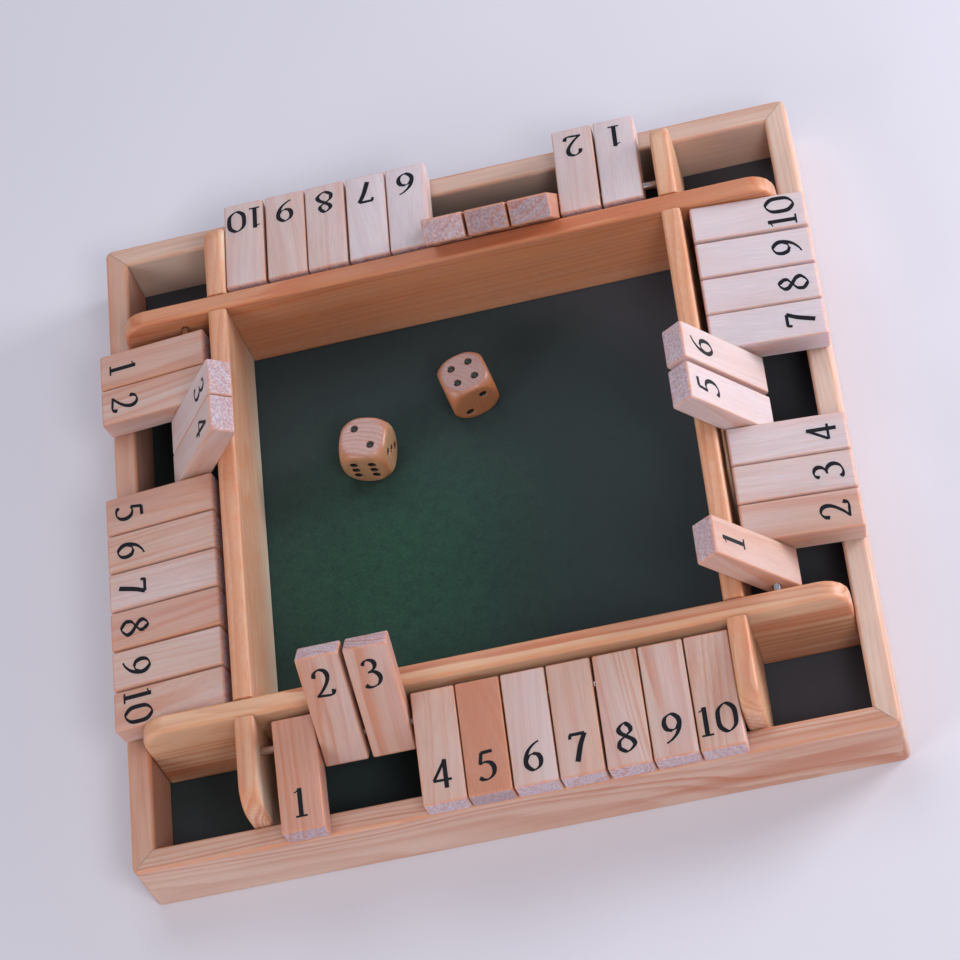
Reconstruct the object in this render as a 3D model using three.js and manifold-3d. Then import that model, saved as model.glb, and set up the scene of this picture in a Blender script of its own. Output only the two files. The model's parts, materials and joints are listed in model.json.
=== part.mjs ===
// Shut the box for four players: an open wooden tray, with a row of ten number tiles along each side.
// Millimetres, +Z up. The origin is the middle of the tray's underside. The front player sits at -Y.
// Two pairs of tall dividers cross like a noughts-and-crosses grid. They leave a felt-lined square in the
// middle for the dice, a trough along each wall and a pocket in each corner. A steel rod runs along each
// trough, and ten drilled tiles turn on it. A tile lies outward on the wall until its player shuts it, and
// then it leans inward on the divider.

import * as THREE from 'three';
import { mergeVertices } from 'three/addons/utils/BufferGeometryUtils.js';
import Module from 'manifold-3d';

const wasm = await Module();
wasm.setup();

// Tiles
const tiles_per_side = 10;
const tile_length = 44;
const tile_width = 16;
const tile_thickness = 10;
const tile_edge_round = 1.1;
const tile_pivot_offset = 9; // from the tile's pivot end to the rod's axis
const tile_play = 0.82; // the room beside each tile in its row
const tile_overhang = 0.8; // how far the free end of a flat tile would pass the wall's outer face
const tile_swing_clearance = 1.2; // between a turning tile's pivot end and the divider

// Tray walls
const wall_thickness = 9;
const wall_height = 28.5;
const wall_corner_radius = 3;
const wall_edge_round = 1.5;

// Base board in its rebate, and the felt on it
const base_thickness = 4;
const rebate_depth = 4;
const felt_thickness = 1.2;

// Rods
const rod_diameter = 3;
const rod_rise = 8.5; // from the wall's top up to the rod's axis
const rod_socket_depth = 4.5;

// Dividers
const divider_rise = 8; // from the rod's axis up to the divider's top
const divider_thickness = 7.5;
const divider_end_radius = 10;
const divider_edge_round = 1.5;
const halving_share = 0.5; // of a divider's height, cut from below in the pair whose tops run through

// Dice
const die_side = 19;
const die_ball_radius = 12.9; // the ball that rounds off a die's corners
const pip_ball_radius = 1.8;
const pip_depth = 0.95;
const pip_pitch = 3.6; // from a face's middle to its outer rows of pips

// Fits
const glue_gap = 0.2; // at the mitres, the halvings, the board's edges and the felt's edges
const rod_socket_clearance = 0.1; // all round a rod's end in its socket
const rod_running_clearance = 0.25; // all round the rod in a tile
const rest_clearance = 0.3; // between a tile and what it lies on
const overrun = 2; // how far a cutting tool passes the faces that it cuts

// Smoothness, in steps round a quarter turn
const round_steps = 3;
const corner_steps = 5;
const rod_quarter_steps = 4;
const ball_quarter_steps = 7;
const pip_quarter_steps = 2;

// Which tiles are shut, for each side
const shut_tiles = { front: [2, 3], right: [1, 5, 6], back: [3, 4, 5], left: [3, 4] };

// How far each loose tile has slid from its even place, as shares of the play between two tiles
const tile_slide_shares = {
  front: [-0.4, -0.6, 0.4, 1.3, 0.9, 0.7, 0.5, 0.7, 0.4, 0.1],
  right: [-0.4, -0.7, -0.9, -1.1, -1.7, -0.4, -0.2, -0.5, -0.4, 0.1],
  back: [-0.4, -0.4, -0.7, -0.6, -0.3, 0.6, 0.2, 0.2, -0.2, 0.1],
  left: [-0.4, -0.7, -1.1, -1.6, -0.6, -0.6, -0.5, -0.4, -0.2, 0.1],
};

// The two dice as they lie. Places are shares of half the middle square, and the turns are in degrees. The
// pattern of pips is turned by a quarter on the faces that are listed.
const dice = [
  { name: 'die_1', place_shares: [-0.484, 0.322], turn: -11.5, top: 2, front: 6, turned_faces: [3] },
  { name: 'die_2', place_shares: [-0.003, 0.547], turn: 15.9, top: 4, front: 2, turned_faces: [2] },
];

const finishes = {
  wall: { color: 0xd9aa7c, roughness: 0.6, metalness: 0 },
  divider: { color: 0xdcab78, roughness: 0.6, metalness: 0 },
  tile: { color: 0xe3bd9b, roughness: 0.6, metalness: 0 },
  ply: { color: 0xc9a77c, roughness: 0.75, metalness: 0 },
  felt: { color: 0x17402a, roughness: 1, metalness: 0 },
  steel: { color: 0xb9bcc0, roughness: 0.3, metalness: 1 },
  die: { color: 0xdcae84, roughness: 0.35, metalness: 0 },
};

// Places that follow from the sizes. A side is drawn for the front player: x runs from that player's left to
// their right, y inward and z up. The rod lies where a flat tile's free end just passes the wall, and the
// divider stands just clear of the tile's other end as it turns. Insets are measured from the tray's outer
// face, and heights from its underside.
const tile_half = tile_thickness / 2;
const tile_pitch = tile_width + tile_play;
const tile_reach = tile_length - tile_pivot_offset;
const rod_radius = rod_diameter / 2;
const rod_inset = tile_reach - tile_overhang;
const rod_height = wall_height + rod_rise;
const divider_inset = rod_inset + Math.hypot(tile_pivot_offset, tile_half) + tile_swing_clearance;
const felt_top = base_thickness + felt_thickness;
const divider_top = rod_height + divider_rise;
const divider_height = divider_top - felt_top;

// The angle above level at which a tile lies on a rounded edge. The rounding is a circle of radius
// edge_round, whose centre lies run across from the rod and rise above it. The tile's middle plane passes
// that centre at half the tile, the rounding and the clearance together.
const restAngle = (run, rise, edge_round) => {
  const distance = Math.hypot(run, rise);
  const stand_off = tile_half + edge_round + rest_clearance;
  return Math.atan2(rise, run) + Math.asin(stand_off / distance);
};
const open_angle = restAngle(rod_inset - wall_edge_round,
  wall_height - wall_edge_round - rod_height, wall_edge_round);
const shut_angle = restAngle(divider_inset + divider_edge_round - rod_inset,
  divider_top - divider_edge_round - rod_height, divider_edge_round);

// The middle square is as wide as a row of tiles, and the first tile keeps some room from its corner: a shut
// tile leans past the divider, and the last tile of the side on the left leans across the same corner.
const shut_inset = rod_inset + tile_reach * Math.cos(shut_angle) + tile_half * Math.sin(shut_angle);
const corner_room = shut_inset + rest_clearance - divider_inset - divider_thickness;
const row_half = (corner_room + tiles_per_side * tile_pitch) / 2;
const half_side = row_half + divider_thickness + divider_inset;
const inner_half = half_side - wall_thickness;

const quarter = Math.PI / 2;

// A plain geometry becomes a solid for cutting, and comes back
const solid = (geometry) => {
  const bare = geometry.clone();
  bare.deleteAttribute('normal');
  bare.deleteAttribute('uv');
  const merged = mergeVertices(bare, 1e-5);
  return new wasm.Manifold(new wasm.Mesh({
    numProp: 3,
    vertProperties: Float32Array.from(merged.attributes.position.array),
    triVerts: Uint32Array.from(merged.index.array),
  }));
};

const geometryOf = (body) => {
  const mesh = body.getMesh();
  const geometry = new THREE.BufferGeometry();
  geometry.setAttribute('position', new THREE.BufferAttribute(Float32Array.from(mesh.vertProperties), 3));
  geometry.setIndex(new THREE.BufferAttribute(Uint32Array.from(mesh.triVerts), 1));
  geometry.computeVertexNormals();
  return geometry;
};

// Shapes are drawn with arcs of a chosen number of steps, so their points are set out here.
const arcPoints = (centre_x, centre_y, radius, from, to, steps) => {
  const points = [];
  for (let step = 0; step <= steps; step += 1) {
    const angle = from + ((to - from) * step) / steps;
    points.push(new THREE.Vector2(centre_x + radius * Math.cos(angle), centre_y + radius * Math.sin(angle)));
  }
  return points;
};

// A rectangle with its own rounding at each corner: low left, low right, high right, high left
const roundedSection = (left, bottom, right, top, radii, steps) => {
  const corners = [
    [left + radii[0], bottom + radii[0]],
    [right - radii[1], bottom + radii[1]],
    [right - radii[2], top - radii[2]],
    [left + radii[3], top - radii[3]],
  ];
  return new THREE.Shape(corners.flatMap(([x, y], index) => (radii[index] > 0
    ? arcPoints(x, y, radii[index], (index + 2) * quarter, (index + 3) * quarter, steps)
    : [new THREE.Vector2(x, y)])));
};

const circle = (radius) => new THREE.Shape(
  arcPoints(0, 0, radius, 0, 4 * quarter, 4 * rod_quarter_steps).slice(0, -1),
);

// An extruded bar whose section is drawn in (y, z) and which runs along x from start to end
const barAlongX = (section, start, end) => {
  const geometry = new THREE.ExtrudeGeometry(section, { depth: end - start, bevelEnabled: false });
  // the section's x becomes y, its y becomes z, and the depth becomes x
  geometry.applyMatrix4(new THREE.Matrix4().set(0, 0, 1, start, 1, 0, 0, 0, 0, 1, 0, 0, 0, 0, 0, 1));
  return geometry;
};

// An extruded plate whose section is drawn in (x, z) and which runs along y from start to end
const plateAlongY = (section, start, end) => {
  const geometry = new THREE.ExtrudeGeometry(section, { depth: end - start, bevelEnabled: false });
  geometry.applyMatrix4(new THREE.Matrix4().set(1, 0, 0, 0, 0, 0, -1, end, 0, 1, 0, 0, 0, 0, 0, 1));
  return geometry;
};

const box = (low, high) => {
  const size = high.map((value, axis) => value - low[axis]);
  const geometry = new THREE.BoxGeometry(...size);
  geometry.translate(...low.map((value, axis) => value + size[axis] / 2));
  return geometry;
};

// A wall: a bar with softened long edges and a rebate for the base board in its low inner edge. Its ends are
// mitred, and the tray's upright corner is rounded off.
const wallGeometry = () => {
  const section = roundedSection(-half_side, 0, -inner_half, wall_height,
    [0, 0, wall_edge_round, wall_edge_round], round_steps);
  const bar = solid(barAlongX(section, -half_side, half_side));
  const rebate = solid(box(
    [-half_side - overrun, -inner_half - rebate_depth, -overrun],
    [half_side + overrun, -inner_half + overrun, base_thickness],
  ));
  const reach = half_side + overrun;
  const mitre_back = glue_gap / Math.SQRT2;
  const wedge = new THREE.Shape([
    new THREE.Vector2(mitre_back - reach, -reach),
    new THREE.Vector2(reach - mitre_back, -reach),
    new THREE.Vector2(0, -mitre_back),
  ]);
  const depth = wall_height + overrun;
  const mitres = solid(new THREE.ExtrudeGeometry(wedge, { depth, bevelEnabled: false }));
  const plan = roundedSection(-half_side, -half_side, half_side, half_side,
    Array(4).fill(wall_corner_radius), corner_steps);
  const rounding = solid(new THREE.ExtrudeGeometry(plan, { depth, bevelEnabled: false }));
  return geometryOf(bar.subtract(rebate).intersect(mitres).intersect(rounding));
};

// A divider runs from wall to wall on the felt. Where it meets the walls its top corners are rounded, its top
// edges are softened, and it is halved where the two dividers of the other pair cross it. The sockets for the
// rods are blind holes in the face that looks at the row of tiles, so a divider has one near each end.
const dividerGeometry = (notch_from_top) => {
  const end = inner_half - glue_gap;
  const outline = roundedSection(-end, felt_top, end, divider_top,
    [0, 0, divider_end_radius, divider_end_radius], corner_steps);
  const outer_face = -half_side + divider_inset;
  const inner_face = outer_face + divider_thickness;
  const plate = solid(plateAlongY(outline, outer_face, inner_face));
  const section = roundedSection(outer_face, felt_top, inner_face, divider_top,
    [0, 0, divider_edge_round, divider_edge_round], round_steps);
  let body = plate.intersect(solid(barAlongX(section, -half_side, half_side)));

  const halving = felt_top + divider_height * halving_share;
  const notch_low = notch_from_top ? halving - glue_gap : felt_top - overrun;
  const notch_high = notch_from_top ? divider_top + overrun : halving;
  for (const side of [-1, 1]) {
    const middle = side * (row_half + divider_thickness / 2);
    body = body.subtract(solid(box(
      [middle - divider_thickness / 2 - glue_gap, outer_face - overrun, notch_low],
      [middle + divider_thickness / 2 + glue_gap, inner_face + overrun, notch_high],
    )));
    // each socket faces the row at the side that this end of the divider bounds
    const socket = plateAlongY(circle(rod_radius + rod_socket_clearance),
      inner_face - rod_socket_depth, inner_face + overrun);
    socket.translate(side * (half_side - rod_inset), 0, rod_height);
    body = body.subtract(solid(socket));
  }
  return geometryOf(body);
};

// A rod: plain steel bar between the two sockets that hold its ends
const rodGeometry = () => {
  const end = row_half + rod_socket_depth - glue_gap;
  return barAlongX(circle(rod_radius), -end, end);
};

// A tile is drilled near one end, and its edges across both ends are rounded. It is drawn flat round the rod,
// with its free end at +y. The hole's flats, not its corners, keep the running clearance.
const tileGeometry = () => {
  const section = roundedSection(-tile_pivot_offset, -tile_half, tile_reach, tile_half,
    Array(4).fill(tile_edge_round), round_steps);
  const flats_share = Math.cos(quarter / (2 * rod_quarter_steps));
  section.holes.push(circle((rod_radius + rod_running_clearance) / flats_share));
  return barAlongX(section, -tile_width / 2, tile_width / 2);
};

// A die: a cube rounded by a ball, with drilled pips. Opposite faces add up to seven, and 1, 2 and 3 run
// anticlockwise round their shared corner. The places of the pips are in pitches from the face's middle.
const pip_shares = {
  1: [[0, 0]],
  2: [[-1, 1], [1, -1]],
  3: [[-1, 1], [0, 0], [1, -1]],
  4: [[-1, 1], [1, -1], [-1, -1], [1, 1]],
  5: [[-1, 1], [1, -1], [-1, -1], [1, 1], [0, 0]],
  6: [[-1, 1], [1, -1], [-1, -1], [1, 1], [-1, 0], [1, 0]],
};

const dieFaces = (top, front) => {
  // the right-hand face follows from the other two by the die's hand
  const normals = {
    1: new THREE.Vector3(0, 0, 1),
    2: new THREE.Vector3(0, -1, 0),
    3: new THREE.Vector3(1, 0, 0),
  };
  const normalOf = (number) => (number <= 3 ? normals[number].clone() : normals[7 - number].clone().negate());
  const right = new THREE.Vector3().crossVectors(normalOf(top), normalOf(front));
  const frame = new THREE.Matrix4().makeBasis(right, normalOf(front).negate(), normalOf(top)).transpose();
  return Object.keys(pip_shares).map((key) => ({
    number: Number(key),
    normal: normalOf(Number(key)).applyMatrix4(frame),
  }));
};

const dieGeometry = (top, front, turned_faces) => {
  const cube = solid(new THREE.BoxGeometry(die_side, die_side, die_side));
  const ball = new THREE.SphereGeometry(die_ball_radius, 4 * ball_quarter_steps, 2 * ball_quarter_steps);
  let body = cube.intersect(solid(ball));
  const pip_rise = die_side / 2 + pip_ball_radius - pip_depth;
  for (const { number, normal } of dieFaces(top, front)) {
    // a pip's ball stands with its pole on the face's normal, so that its rim is a regular ring
    const pip = new THREE.SphereGeometry(pip_ball_radius, 4 * pip_quarter_steps, 2 * pip_quarter_steps);
    pip.rotateX(quarter);
    const face_turn = new THREE.Quaternion().setFromUnitVectors(new THREE.Vector3(0, 0, 1), normal);
    for (const [across, along] of pip_shares[number]) {
      const tool = pip.clone();
      tool.translate(across * pip_pitch, along * pip_pitch, pip_rise);
      if (turned_faces.includes(number)) tool.rotateZ(quarter);
      tool.applyQuaternion(face_turn);
      body = body.subtract(solid(tool));
    }
  }
  return geometryOf(body);
};

const game = new THREE.Group();

const place = (parent, name, geometry, finish) => {
  const mesh = new THREE.Mesh(geometry, new THREE.MeshStandardMaterial(finishes[finish]));
  mesh.name = name;
  parent.add(mesh);
  return mesh;
};

// A square sheet in the tray, from one height to another
const sheet = (half, low, high) => box([-half, -half, low], [half, half, high]);
place(game, 'base_board', sheet(inner_half + rebate_depth - glue_gap, 0, base_thickness), 'ply');
place(game, 'felt_lining', sheet(inner_half - glue_gap, base_thickness, felt_top), 'felt');

// Each side is the front player's side, turned about the tray's middle.
const sides = ['front', 'right', 'back', 'left'];
sides.forEach((side, index) => {
  const turned = new THREE.Group();
  turned.rotation.z = index * quarter;
  game.add(turned);
  place(turned, `${side}_wall`, wallGeometry(), 'wall');
  place(turned, `${side}_divider`, dividerGeometry(index % 2 === 1), 'divider');

  const rod_line = new THREE.Group();
  rod_line.position.set(0, rod_inset - half_side, rod_height);
  turned.add(rod_line);
  place(rod_line, `${side}_rod`, rodGeometry(), 'steel');

  for (let number = 1; number <= tiles_per_side; number += 1) {
    const even_place = corner_room + (number - 0.5) * tile_pitch - row_half;
    const slide_shares = tile_slide_shares[side];
    const slide = slide_shares[(number - 1) % slide_shares.length] * tile_play;
    const shut = shut_tiles[side].includes(number);
    const tile = place(rod_line, `${side}_tile_${number}`, tileGeometry(), 'tile');
    tile.position.x = even_place + slide;
    tile.rotation.x = shut ? shut_angle : 2 * quarter - open_angle;
  }
});

for (const { name, place_shares, turn, top, front, turned_faces } of dice) {
  const die = place(game, name, dieGeometry(top, front, turned_faces), 'die');
  die.position.set(place_shares[0] * row_half, place_shares[1] * row_half, felt_top + die_side / 2);
  die.rotation.z = THREE.MathUtils.degToRad(turn);
}

export default game;
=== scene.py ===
# %% [markdown]
# # A four-player number game in pine
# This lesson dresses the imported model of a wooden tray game: four rows of numbered tiles on steel rods, a
# felt floor and two dice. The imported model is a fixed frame, so every piece below takes its place from it.
# New pieces are meshes worked out with numpy, and every finish is made of shader nodes.

# %% Load the frame
import json
import math

import bmesh
import bpy
import numpy as np
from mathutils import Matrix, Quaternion, Vector


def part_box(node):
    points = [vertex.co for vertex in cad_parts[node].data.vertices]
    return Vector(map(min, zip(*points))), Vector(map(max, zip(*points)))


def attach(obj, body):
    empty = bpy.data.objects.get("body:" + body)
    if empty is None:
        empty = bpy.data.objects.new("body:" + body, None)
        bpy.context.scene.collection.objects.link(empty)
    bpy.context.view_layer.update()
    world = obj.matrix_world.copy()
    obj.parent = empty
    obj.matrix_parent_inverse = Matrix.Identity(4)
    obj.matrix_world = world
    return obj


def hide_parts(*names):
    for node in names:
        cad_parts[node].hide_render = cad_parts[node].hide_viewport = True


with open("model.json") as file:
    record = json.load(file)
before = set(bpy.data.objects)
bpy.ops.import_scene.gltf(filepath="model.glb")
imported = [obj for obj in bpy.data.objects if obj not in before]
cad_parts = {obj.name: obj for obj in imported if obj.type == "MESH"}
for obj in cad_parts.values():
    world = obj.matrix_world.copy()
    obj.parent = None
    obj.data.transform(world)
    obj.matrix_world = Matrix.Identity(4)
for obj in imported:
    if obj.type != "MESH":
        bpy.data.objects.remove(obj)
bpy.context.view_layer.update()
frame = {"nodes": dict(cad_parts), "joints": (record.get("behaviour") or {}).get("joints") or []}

scene = bpy.context.scene
scene.view_settings.view_transform = "Standard"
mm = 0.001
sides = ("front", "right", "back", "left")
half_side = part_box("right_wall")[1].x  # the open tiles reach a little past the walls
print("frame:", len(frame["nodes"]), "nodes,", round(2 * half_side / mm, 1), "mm square")

# %% [markdown]
# The tray is seen from high in front of one player, a little from their right, and the picture is turned,
# so that the near wall climbs to the right. A long lens keeps the far wall nearly as wide as the near one.
# The camera looks from a point on a sphere round the tray's middle, and then rolls about its own axis.

# %% Camera
camera_azimuth, camera_elevation, camera_roll = 15, 56, -24.5
camera_distance = 1.231
aim = Vector((1 * mm, 0, 20 * mm))
camera = bpy.data.objects.new("camera", bpy.data.cameras.new("camera"))
camera.data.lens = 122
turn, lift = math.radians(camera_azimuth), math.radians(camera_elevation)
back = Vector((math.sin(turn) * math.cos(lift), -math.cos(turn) * math.cos(lift), math.sin(lift)))
camera.location = aim + back * camera_distance
camera.rotation_mode = "QUATERNION"
level_view = (-back).to_track_quat("-Z", "Y")
camera.rotation_quaternion = level_view @ Quaternion((0, 0, 1), math.radians(camera_roll))
scene.collection.objects.link(camera)
scene.camera = camera
print("camera at", [round(c, 3) for c in camera.location])

# %% [markdown]
# Shader nodes are wired by a few helpers, which name the nodes that wood and felt use most. Each adds its
# node to the tree that its input sockets belong to.

# %% Node helpers
def fill(node, inputs):
    """Fills a node's inputs: a socket is linked, and a plain value is written."""
    for name, value in inputs.items():
        if isinstance(value, bpy.types.NodeSocket):
            node.id_data.links.new(value, node.inputs[name])
        else:
            node.inputs[name].default_value = value


def put(kind, inputs, **settings):
    """Adds a node with its settings, and fills its inputs."""
    tree = next(value.id_data for value in inputs.values() if isinstance(value, bpy.types.NodeSocket))
    node = tree.nodes.new(kind)
    for name, value in settings.items():
        setattr(node, name, value)
    fill(node, inputs)
    return node


def maths(operation, *values, clamp=False):
    """One sum of one to three numbers."""
    node = put("ShaderNodeMath", dict(enumerate(values)), operation=operation, use_clamp=clamp)
    return node.outputs[0]


def vectors(operation, *values, output=0):
    """One sum of vectors; output 0 is a vector and 1 is a number."""
    node = put("ShaderNodeVectorMath", dict(enumerate(values)), operation=operation)
    return node.outputs[output]


def scaled(vector, factor):
    """A vector or a colour times a number."""
    return put("ShaderNodeVectorMath", {0: vector, "Scale": factor}, operation="SCALE").outputs[0]


def mixed(factor, first, second):
    """Two colours mixed by a factor."""
    return put("ShaderNodeMix", {0: factor, 6: first, 7: second}, data_type="RGBA").outputs[2]


def spread(value, low, high, to_low=0.0, to_high=1.0):
    """A smooth step: to_low up to low, to_high from high on."""
    inputs = {"Value": value, "From Min": low, "From Max": high, "To Min": to_low, "To Max": to_high}
    return put("ShaderNodeMapRange", inputs, interpolation_type="SMOOTHSTEP").outputs[0]


def cloud(place, stretch, detail=2.0, roughness=0.5, output=0):
    """Noise whose blobs have the size 1 / stretch along each axis; output 0 is a value and 1 a colour."""
    inputs = {"Vector": vectors("MULTIPLY", place, stretch), "Scale": 1, "Detail": detail,
              "Roughness": roughness}
    return put("ShaderNodeTexNoise", inputs).outputs[output]


def relief(height, strength, distance):
    """The normal of a bumped surface; distance is how far one unit of height reaches."""
    inputs = {"Height": height, "Strength": strength, "Distance": distance}
    return put("ShaderNodeBump", inputs).outputs[0]


def own_place(material):
    """The place in the object's own coordinates, in metres."""
    return material.node_tree.nodes.new("ShaderNodeTexCoord").outputs["Object"]


def attribute(material, name, output="Vector"):
    """A piece's own attribute."""
    node = material.node_tree.nodes.new("ShaderNodeAttribute")
    node.attribute_name = name
    return node.outputs[output]


def apart(vector):
    """A vector's x, y and z."""
    return put("ShaderNodeSeparateXYZ", {0: vector}).outputs


def linear(red, green, blue):
    """A colour given as a screen shows it, 0 to 255, as the linear values that a shader wants."""
    share = np.array((red, green, blue)) / 255
    return (*np.where(share < 0.04045, share / 12.92, ((share + 0.055) / 1.055) ** 2.4), 1)


def new_group(name, inputs, results):
    """A shader node group with named inputs and outputs, and its input and output nodes."""
    tree = bpy.data.node_groups.new(name, "ShaderNodeTree")
    for way, sockets in (("INPUT", inputs), ("OUTPUT", results)):
        for title, kind in sockets.items():
            tree.interface.new_socket(title, in_out=way, socket_type=kind)
    return tree, tree.nodes.new("NodeGroupInput").outputs, tree.nodes.new("NodeGroupOutput")

# %% [markdown]
# Pine is a stack of growth rings round a pith. A board cut from the log shows them as stripes on its sides
# and as arcs on its ends. A picture wrapped on each face couldn't agree at the edges, so the rings are a
# solid pattern: each piece carries its place in the log, in millimetres, as an attribute, and the group
# works out the distance to the pith there. Each ring runs from pale early wood to a dark, sharp late edge.
# The trunk isn't straight, so the distance wanders, and fibres run along it as very long, thin noise. Where
# the fibres are cut through, at a piece's ends, the wood is greyer and specked, and browner in dark pieces.

# %% Pine grain group
VECTOR, NUMBER, COLOUR = "NodeSocketVector", "NodeSocketFloat", "NodeSocketColor"


def pine_grain():
    """Rings: fract(distance from the pith / ring width + unevenness), darkened towards 1."""
    tree, given, result = new_group("pine grain", {
        "Place": VECTOR, "Ring Width": NUMBER, "Figure": NUMBER, "Tone": NUMBER, "End Grain": NUMBER,
        "Early": COLOUR, "Late": COLOUR, "Pale": COLOUR, "End": COLOUR, "Speckle": NUMBER,
    }, {"Colour": COLOUR, "Height": NUMBER, "Roughness": NUMBER})
    place, figure = given["Place"], given["Figure"]
    wander = cloud(place, (0.03, 0.03, 0.009), detail=1, output=1)
    wander = scaled(vectors("SUBTRACT", wander, (0.5, 0.5, 0.5)), 9)
    across = vectors("MULTIPLY", vectors("ADD", place, wander), (1, 1, 0))
    distance = vectors("LENGTH", across, output=1)
    ragged = cloud(place, (0.6, 0.6, 0.02))
    inputs = {"W": maths("MULTIPLY", distance, 0.11), "Scale": 1, "Detail": 1}
    uneven = put("ShaderNodeTexNoise", inputs, noise_dimensions="1D").outputs[0]
    rings = maths("DIVIDE", distance, given["Ring Width"])
    rings = maths("MULTIPLY_ADD", uneven, 3.2, rings)
    rings = maths("MULTIPLY_ADD", ragged, 0.35, rings)
    phase, number = maths("FRACT", rings), maths("FLOOR", rings)
    late = maths("MULTIPLY", spread(phase, 0.25, 0.9), spread(phase, 0.9, 1.0, 1.0, 0.0))
    strength = put("ShaderNodeTexWhiteNoise", {"W": number}, noise_dimensions="1D").outputs[0]
    strength = maths("MULTIPLY_ADD", strength, 0.75, 0.25)
    stripe = maths("MULTIPLY", maths("MULTIPLY", late, strength), figure, clamp=True)

    fibre = cloud(place, (1.8, 1.8, 0.035), detail=4, roughness=0.65)
    band = cloud(place, (0.12, 0.12, 0.004))
    blush = cloud(place, (0.05, 0.05, 0.012), detail=1)
    speckle = cloud(place, (1.2, 1.2, 0.4), detail=3, roughness=0.65)

    wood = mixed(stripe, given["Early"], given["Late"])
    warm = maths("MULTIPLY", spread(band, 0.48, 0.66), maths("MULTIPLY", figure, 0.7))
    wood = mixed(warm, wood, given["Late"])
    wood = mixed(maths("MULTIPLY", spread(blush, 0.4, 0.7), 0.25), wood, given["Pale"])
    wood = mixed(maths("MAXIMUM", given["Tone"], 0.0), wood, given["Late"])
    wood = mixed(maths("MULTIPLY", given["Tone"], -1.0, clamp=True), wood, given["Pale"])
    wood = scaled(wood, maths("MULTIPLY_ADD", maths("SUBTRACT", fibre, 0.5), 0.42, 1.0))

    dark = maths("MULTIPLY_ADD", given["Tone"], 0.9, -0.27, clamp=True)
    end = mixed(dark, mixed(0.8, wood, given["End"]), linear(104, 84, 90))
    end = mixed(stripe, end, given["Late"])
    dots = maths("MULTIPLY", maths("SUBTRACT", speckle, 0.52), given["Speckle"])
    red_dots = maths("MULTIPLY_ADD", dots, 1.3, 1.0)
    dots = maths("MULTIPLY_ADD", dots, 2.2, 1.0)
    dots = put("ShaderNodeCombineXYZ", {0: red_dots, 1: dots, 2: dots}).outputs[0]
    end = vectors("MULTIPLY", end, dots)

    height = maths("MULTIPLY_ADD", stripe, 0.5, maths("MULTIPLY", fibre, 0.8))
    specks = maths("MULTIPLY", speckle, given["End Grain"])
    fill(result, {
        "Colour": mixed(given["End Grain"], wood, end),
        "Height": maths("MULTIPLY_ADD", specks, 0.6, height),
        "Roughness": maths("MULTIPLY_ADD", fibre, 0.25, 0.4),
    })
    return tree


pine_grain_group = pine_grain()
print("pine grain:", len(pine_grain_group.nodes), "nodes")

# %% [markdown]
# The edges were eased by hand and take up more oil than the faces, and light that enters a thin edge comes
# out again warm, so an edge is more orange and smoother than the face beside it. The orange is painted into
# the colour: partly the oil, and partly a painted glow that stands for that light. Each wooden piece says in
# an attribute where its edges are. The group makes that uneven with noise and warms the colour there.

# %% Oiled edge and painted glow group
def rubbed_edge():
    """Warms a colour on the edges, for oil and a painted glow of light, by 0.65 of a noise from 0.45 to 1."""
    tree, given, result = new_group("oiled edge and painted glow", {
        "Place": VECTOR, "Edge": NUMBER, "Colour": COLOUR, "Oil And Glow": COLOUR, "Roughness": NUMBER,
    }, {"Colour": COLOUR, "Roughness": NUMBER})
    patch = cloud(given["Place"], (0.25, 0.25, 0.12), detail=3)
    amount = maths("MULTIPLY", given["Edge"], spread(patch, 0.25, 0.75, 0.45, 1.0), clamp=True)
    fill(result, {
        "Colour": mixed(maths("MULTIPLY", amount, 0.65), given["Colour"], given["Oil And Glow"]),
        "Roughness": maths("MULTIPLY_ADD", amount, -0.1, given["Roughness"]),
    })
    return tree


oiled_glowing_edge_group = rubbed_edge()

# %% [markdown]
# All the timber is the same tree in different cuts, so one function makes each wooden finish with its own
# colours. The boards' place in the log, their ring width, figure and tone come from attributes. Pine lets
# light a few millimetres in, the red part farthest, which softens the shading and warms the thin places.

# %% Wooden finishes
def surface(name):
    """A new material, and the Principled shader that is wired to its output."""
    material = bpy.data.materials.new(name)
    material.use_nodes = True
    nodes = material.node_tree.nodes
    nodes.clear()
    shader = nodes.new("ShaderNodeBsdfPrincipled")
    fill(nodes.new("ShaderNodeOutputMaterial"), {0: shader.outputs[0]})
    return material, shader


def wood_finish(name, early, late, pale, bump=0.25, edge_oil_and_glow=None, end=linear(190, 175, 189), speckle=1.0):
    """Pine grain, edges with oil and a painted glow, then the shader; the grain's height drives a shallow
    bump.
    """
    material, shader = surface(name)
    place = attribute(material, "log_place")
    cut, face = apart(attribute(material, "cut")), apart(attribute(material, "face"))
    grain = put("ShaderNodeGroup", {
        "Place": place, "Ring Width": cut[0], "Figure": cut[1], "Tone": cut[2], "End Grain": face[0],
        "Early": early, "Late": late, "Pale": pale, "End": end, "Speckle": speckle,
    }, node_tree=pine_grain_group).outputs
    edge = put("ShaderNodeGroup", {
        "Place": place, "Edge": face[1], "Colour": grain["Colour"], "Roughness": grain["Roughness"],
        "Oil And Glow": edge_oil_and_glow or pale,
    }, node_tree=oiled_glowing_edge_group).outputs
    fill(shader, {
        "Base Color": edge["Colour"], "Roughness": edge["Roughness"],
        "Normal": relief(grain["Height"], bump, 0.1 * mm), "Specular IOR Level": 0.6,
        "Subsurface Weight": 0.45, "Subsurface Radius": (1.0, 0.35, 0.15), "Subsurface Scale": 4 * mm,
    })
    return material, shader


# the edges' colour: partly oil, partly a painted glow of the light that comes out of a thin edge
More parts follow.
